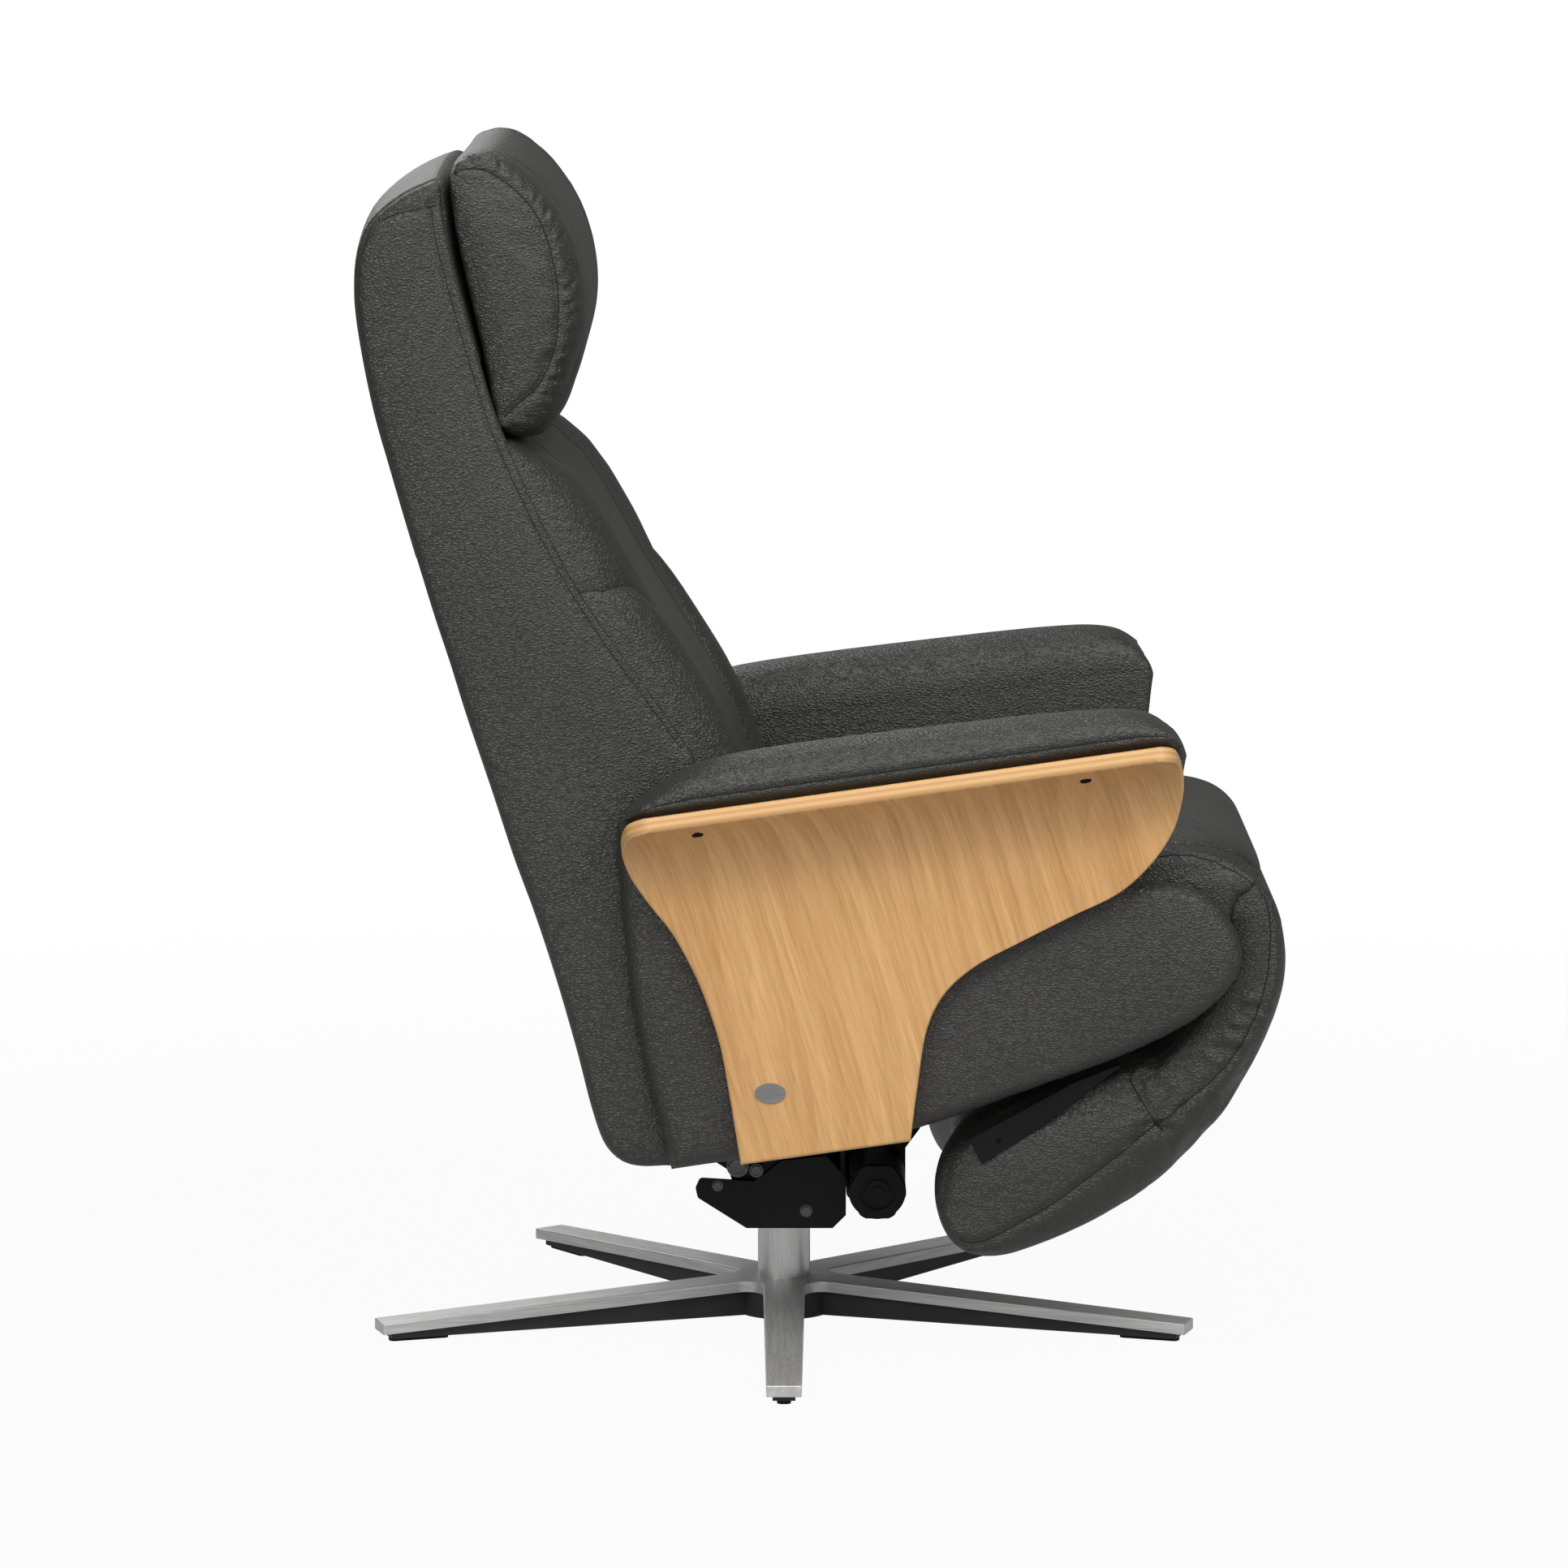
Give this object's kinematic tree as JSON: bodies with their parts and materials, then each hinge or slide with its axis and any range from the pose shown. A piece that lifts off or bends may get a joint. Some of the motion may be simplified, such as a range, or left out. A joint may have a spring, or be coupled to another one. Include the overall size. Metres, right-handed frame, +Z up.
{
  "type": "power recliner chair",
  "caption": "Padded leather power recliner on a swivelling star base, with bent wood arm panels, a tilting headrest, a reclining back and a folding leg rest.",
  "frame": {"origin": "on the floor, on the swivel axis", "axes": "+X the way the sitter faces, +Y to the sitter's left, +Z up"},
  "size_m": [0.8317, 0.7486, 1.0835],
  "materials": {
    "leather": "satin",
    "bent_wood": "satin",
    "brushed_aluminium": "satin",
    "dark_web": "satin",
    "glide_plastic": "matte",
    "brushed_column": "satin",
    "bush_plastic": "matte",
    "bright_steel": "satin",
    "black_steel": "satin",
    "black_motor": "satin",
    "black_plastic": "matte",
    "drive_tube": "satin",
    "webbing": "matte",
    "badge_metal": "satin",
    "button_plastic": "satin"
  },
  "bodies": {
    "base": {"star_base": "brushed_aluminium", "base_webs": "dark_web", "floor_glides": "glide_plastic", "column_tube": "brushed_column", "swivel_bushes": "bush_plastic"},
    "chassis": {"swivel_spindle": "bright_steel", "mechanism_base": "black_steel", "tilt_pivot_pins": "bright_steel", "tilt_motor": "black_motor", "tilt_motor_cap": "black_plastic", "tilt_gearbox": "black_plastic"},
    "crank": {"tilt_crank": "black_steel"},
    "seat": {"seat_carriers": "black_steel", "seat_rails": "black_steel", "seat_cross_tubes": "black_steel", "tilt_track": "black_steel", "back_pivot_pins": "bright_steel", "leg_pivot_pins": "bright_steel", "seat_webbing": "webbing", "seat_cushion": "leather", "seat_side_right": "leather", "seat_side_left": "leather", "side_standoffs": "black_steel", "arm_panel_right": "bent_wood", "arm_panel_left": "bent_wood", "arm_pad_right": "leather", "arm_pad_left": "leather", "arm_pad_screws": "bright_steel", "badge_plate": "badge_metal", "switch_plate": "black_plastic", "leg_drive_housing": "black_plastic", "leg_drive_tube": "drive_tube", "leg_drive_motor": "black_plastic", "back_drive_housing": "black_plastic", "back_drive_tube": "drive_tube", "back_drive_motor": "black_plastic", "electronics_trays": "black_steel", "control_unit": "black_plastic", "battery_pack": "black_plastic"},
    "back": {"back_frame": "black_steel", "back_side_right": "leather", "back_side_left": "leather", "rear_cover_lower": "leather", "rear_cover_upper": "leather", "upper_back_cushion": "leather", "lumbar_cushion": "leather", "back_webbing": "webbing", "headrest_bracket": "black_steel"},
    "headrest": {"headrest_cushion": "leather", "headrest_plate": "black_steel"},
    "calf_rest": {"calf_cushion": "leather", "calf_frame": "black_steel"},
    "foot_rest": {"foot_cushion": "leather", "foot_bars": "black_steel"},
    "leg_rod": {"leg_drive_rod": "bright_steel"},
    "back_rod": {"back_drive_rod": "bright_steel"},
    "back_recline_button": {"button_back_recline": "button_plastic"},
    "back_raise_button": {"button_back_raise": "button_plastic"},
    "leg_raise_button": {"button_leg_raise": "button_plastic"},
    "leg_lower_button": {"button_leg_lower": "button_plastic"}
  },
  "joints": [
    {"name": "swivel", "type": "hinge", "parent": "base", "child": "chassis", "pos_m": [0, 0, 0.05], "axis": [0, 0, 1], "continuous": true},
    {"name": "seat_tilt", "type": "hinge", "parent": "chassis", "child": "seat", "pos_m": [-0.042, 0, 0.159], "axis": [0, -1, 0], "range_deg": [0, 6]},
    {"name": "crank_turn", "type": "hinge", "parent": "chassis", "child": "crank", "pos_m": [0.084, 0, 0.14], "axis": [0, -1, 0], "range_deg": [0, 34]},
    {"name": "back_recline", "type": "hinge", "parent": "seat", "child": "back", "pos_m": [-0.06, 0, 0.33], "axis": [0, -1, 0], "range_deg": [0, 35]},
    {"name": "headrest_tilt", "type": "hinge", "parent": "back", "child": "headrest", "pos_m": [-0.254, 0, 0.858], "axis": [0, 1, 0], "range_deg": [0, 25]},
    {"name": "legrest_swing", "type": "hinge", "parent": "seat", "child": "calf_rest", "pos_m": [0.42, 0, 0.416], "axis": [0, -1, 0], "range_deg": [0, 95]},
    {"name": "footpad_fold", "type": "hinge", "parent": "calf_rest", "child": "foot_rest", "pos_m": [0.35, 0, 0.186], "axis": [0, -1, 0], "range_deg": [0, 25]},
    {"name": "leg_rod_slide", "type": "slide", "parent": "seat", "child": "leg_rod", "axis": [0.9304, 0, 0.3665], "range_m": [0, 0.1254]},
    {"name": "back_rod_slide", "type": "slide", "parent": "seat", "child": "back_rod", "axis": [0.9792, 0, 0.2028], "range_m": [0, 0.0629]},
    {"name": "back_recline_press", "type": "slide", "parent": "seat", "child": "back_recline_button", "axis": [0, -1, 0], "range_m": [0, 0.0015], "stiffness_N_per_m": 600},
    {"name": "back_raise_press", "type": "slide", "parent": "seat", "child": "back_raise_button", "axis": [0, -1, 0], "range_m": [0, 0.0015], "stiffness_N_per_m": 600},
    {"name": "leg_raise_press", "type": "slide", "parent": "seat", "child": "leg_raise_button", "axis": [0, -1, 0], "range_m": [0, 0.0015], "stiffness_N_per_m": 600},
    {"name": "leg_lower_press", "type": "slide", "parent": "seat", "child": "leg_lower_button", "axis": [0, -1, 0], "range_m": [0, 0.0015], "stiffness_N_per_m": 600}
  ],
  "couplings": [
    {"joint": "crank_turn", "follows": "seat_tilt", "ratio": 5.6666},
    {"joint": "leg_rod_slide", "follows": "legrest_swing", "m_per_rad": 0.075594},
    {"joint": "back_rod_slide", "follows": "back_recline", "m_per_rad": 0.1028}
  ]
}
